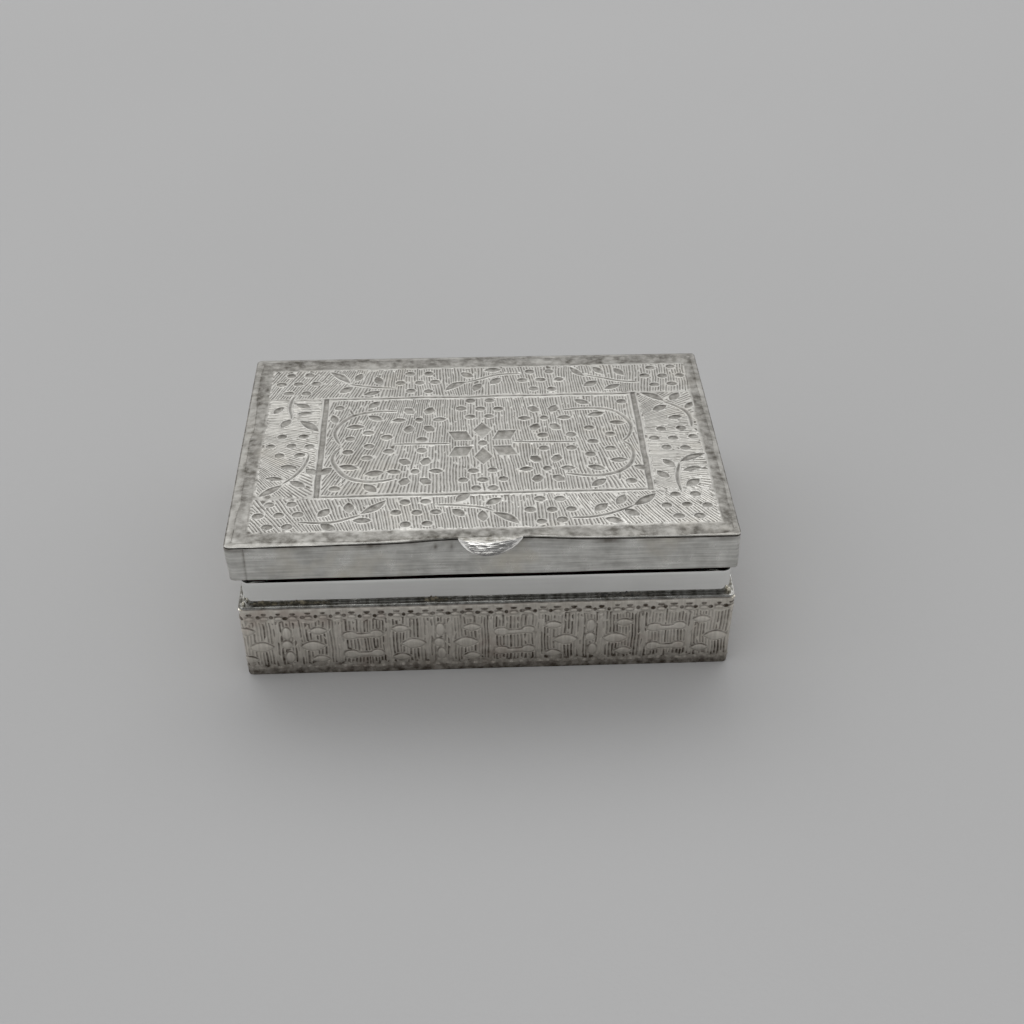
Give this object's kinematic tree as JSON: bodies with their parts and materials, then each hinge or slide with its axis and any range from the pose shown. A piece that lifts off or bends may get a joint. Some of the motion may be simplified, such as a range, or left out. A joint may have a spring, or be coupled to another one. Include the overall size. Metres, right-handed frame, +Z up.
{
  "type": "hinged keepsake box",
  "caption": "Small rectangular silver-tone sheet-metal box for a rosary, with a chased floral lid standing slightly ajar, a polished collar, embossed sides and a pinned knuckle hinge at the back.",
  "frame": {"origin": "centre of the underside, on the surface that the box stands on", "axes": "+X along the width, to the viewer's right; the front with the thumb piece faces -Y and the hinge is at +Y; +Z up"},
  "size_m": [0.076, 0.0577, 0.0269],
  "materials": {
    "chased_silver": "chased and lightly tarnished",
    "brushed_silver": "dull brushed silver tone",
    "polished_silver": "mirror polished",
    "embossed_silver": "embossed, warm grey tarnish",
    "hinge_silver": "drawn tube and wire",
    "solder": "bright soft solder",
    "velvet": "short-pile velvet"
  },
  "bodies": {
    "base": {"bottom_plate": "brushed_silver", "casing_strip": "embossed_silver", "ledge_frame": "polished_silver", "collar": "polished_silver", "floor_pad": "velvet", "corner_solder": "solder", "base_bearer": "hinge_silver", "base_knuckle_left": "hinge_silver", "base_knuckle_middle": "hinge_silver", "base_knuckle_right": "hinge_silver", "hinge_pin": "hinge_silver"},
    "lid": {"lid_top": "chased_silver", "lid_band": "brushed_silver", "lid_backing": "polished_silver", "thumb_piece": "polished_silver", "lid_bearer": "hinge_silver", "lid_knuckle_left": "hinge_silver", "lid_knuckle_right": "hinge_silver"}
  },
  "joints": [
    {"name": "lid_hinge", "type": "hinge", "parent": "base", "child": "lid", "pos_m": [0, 0.02815, 0.0149], "axis": [-1, 0, 0], "range_deg": [-5.85, 93]}
  ]
}
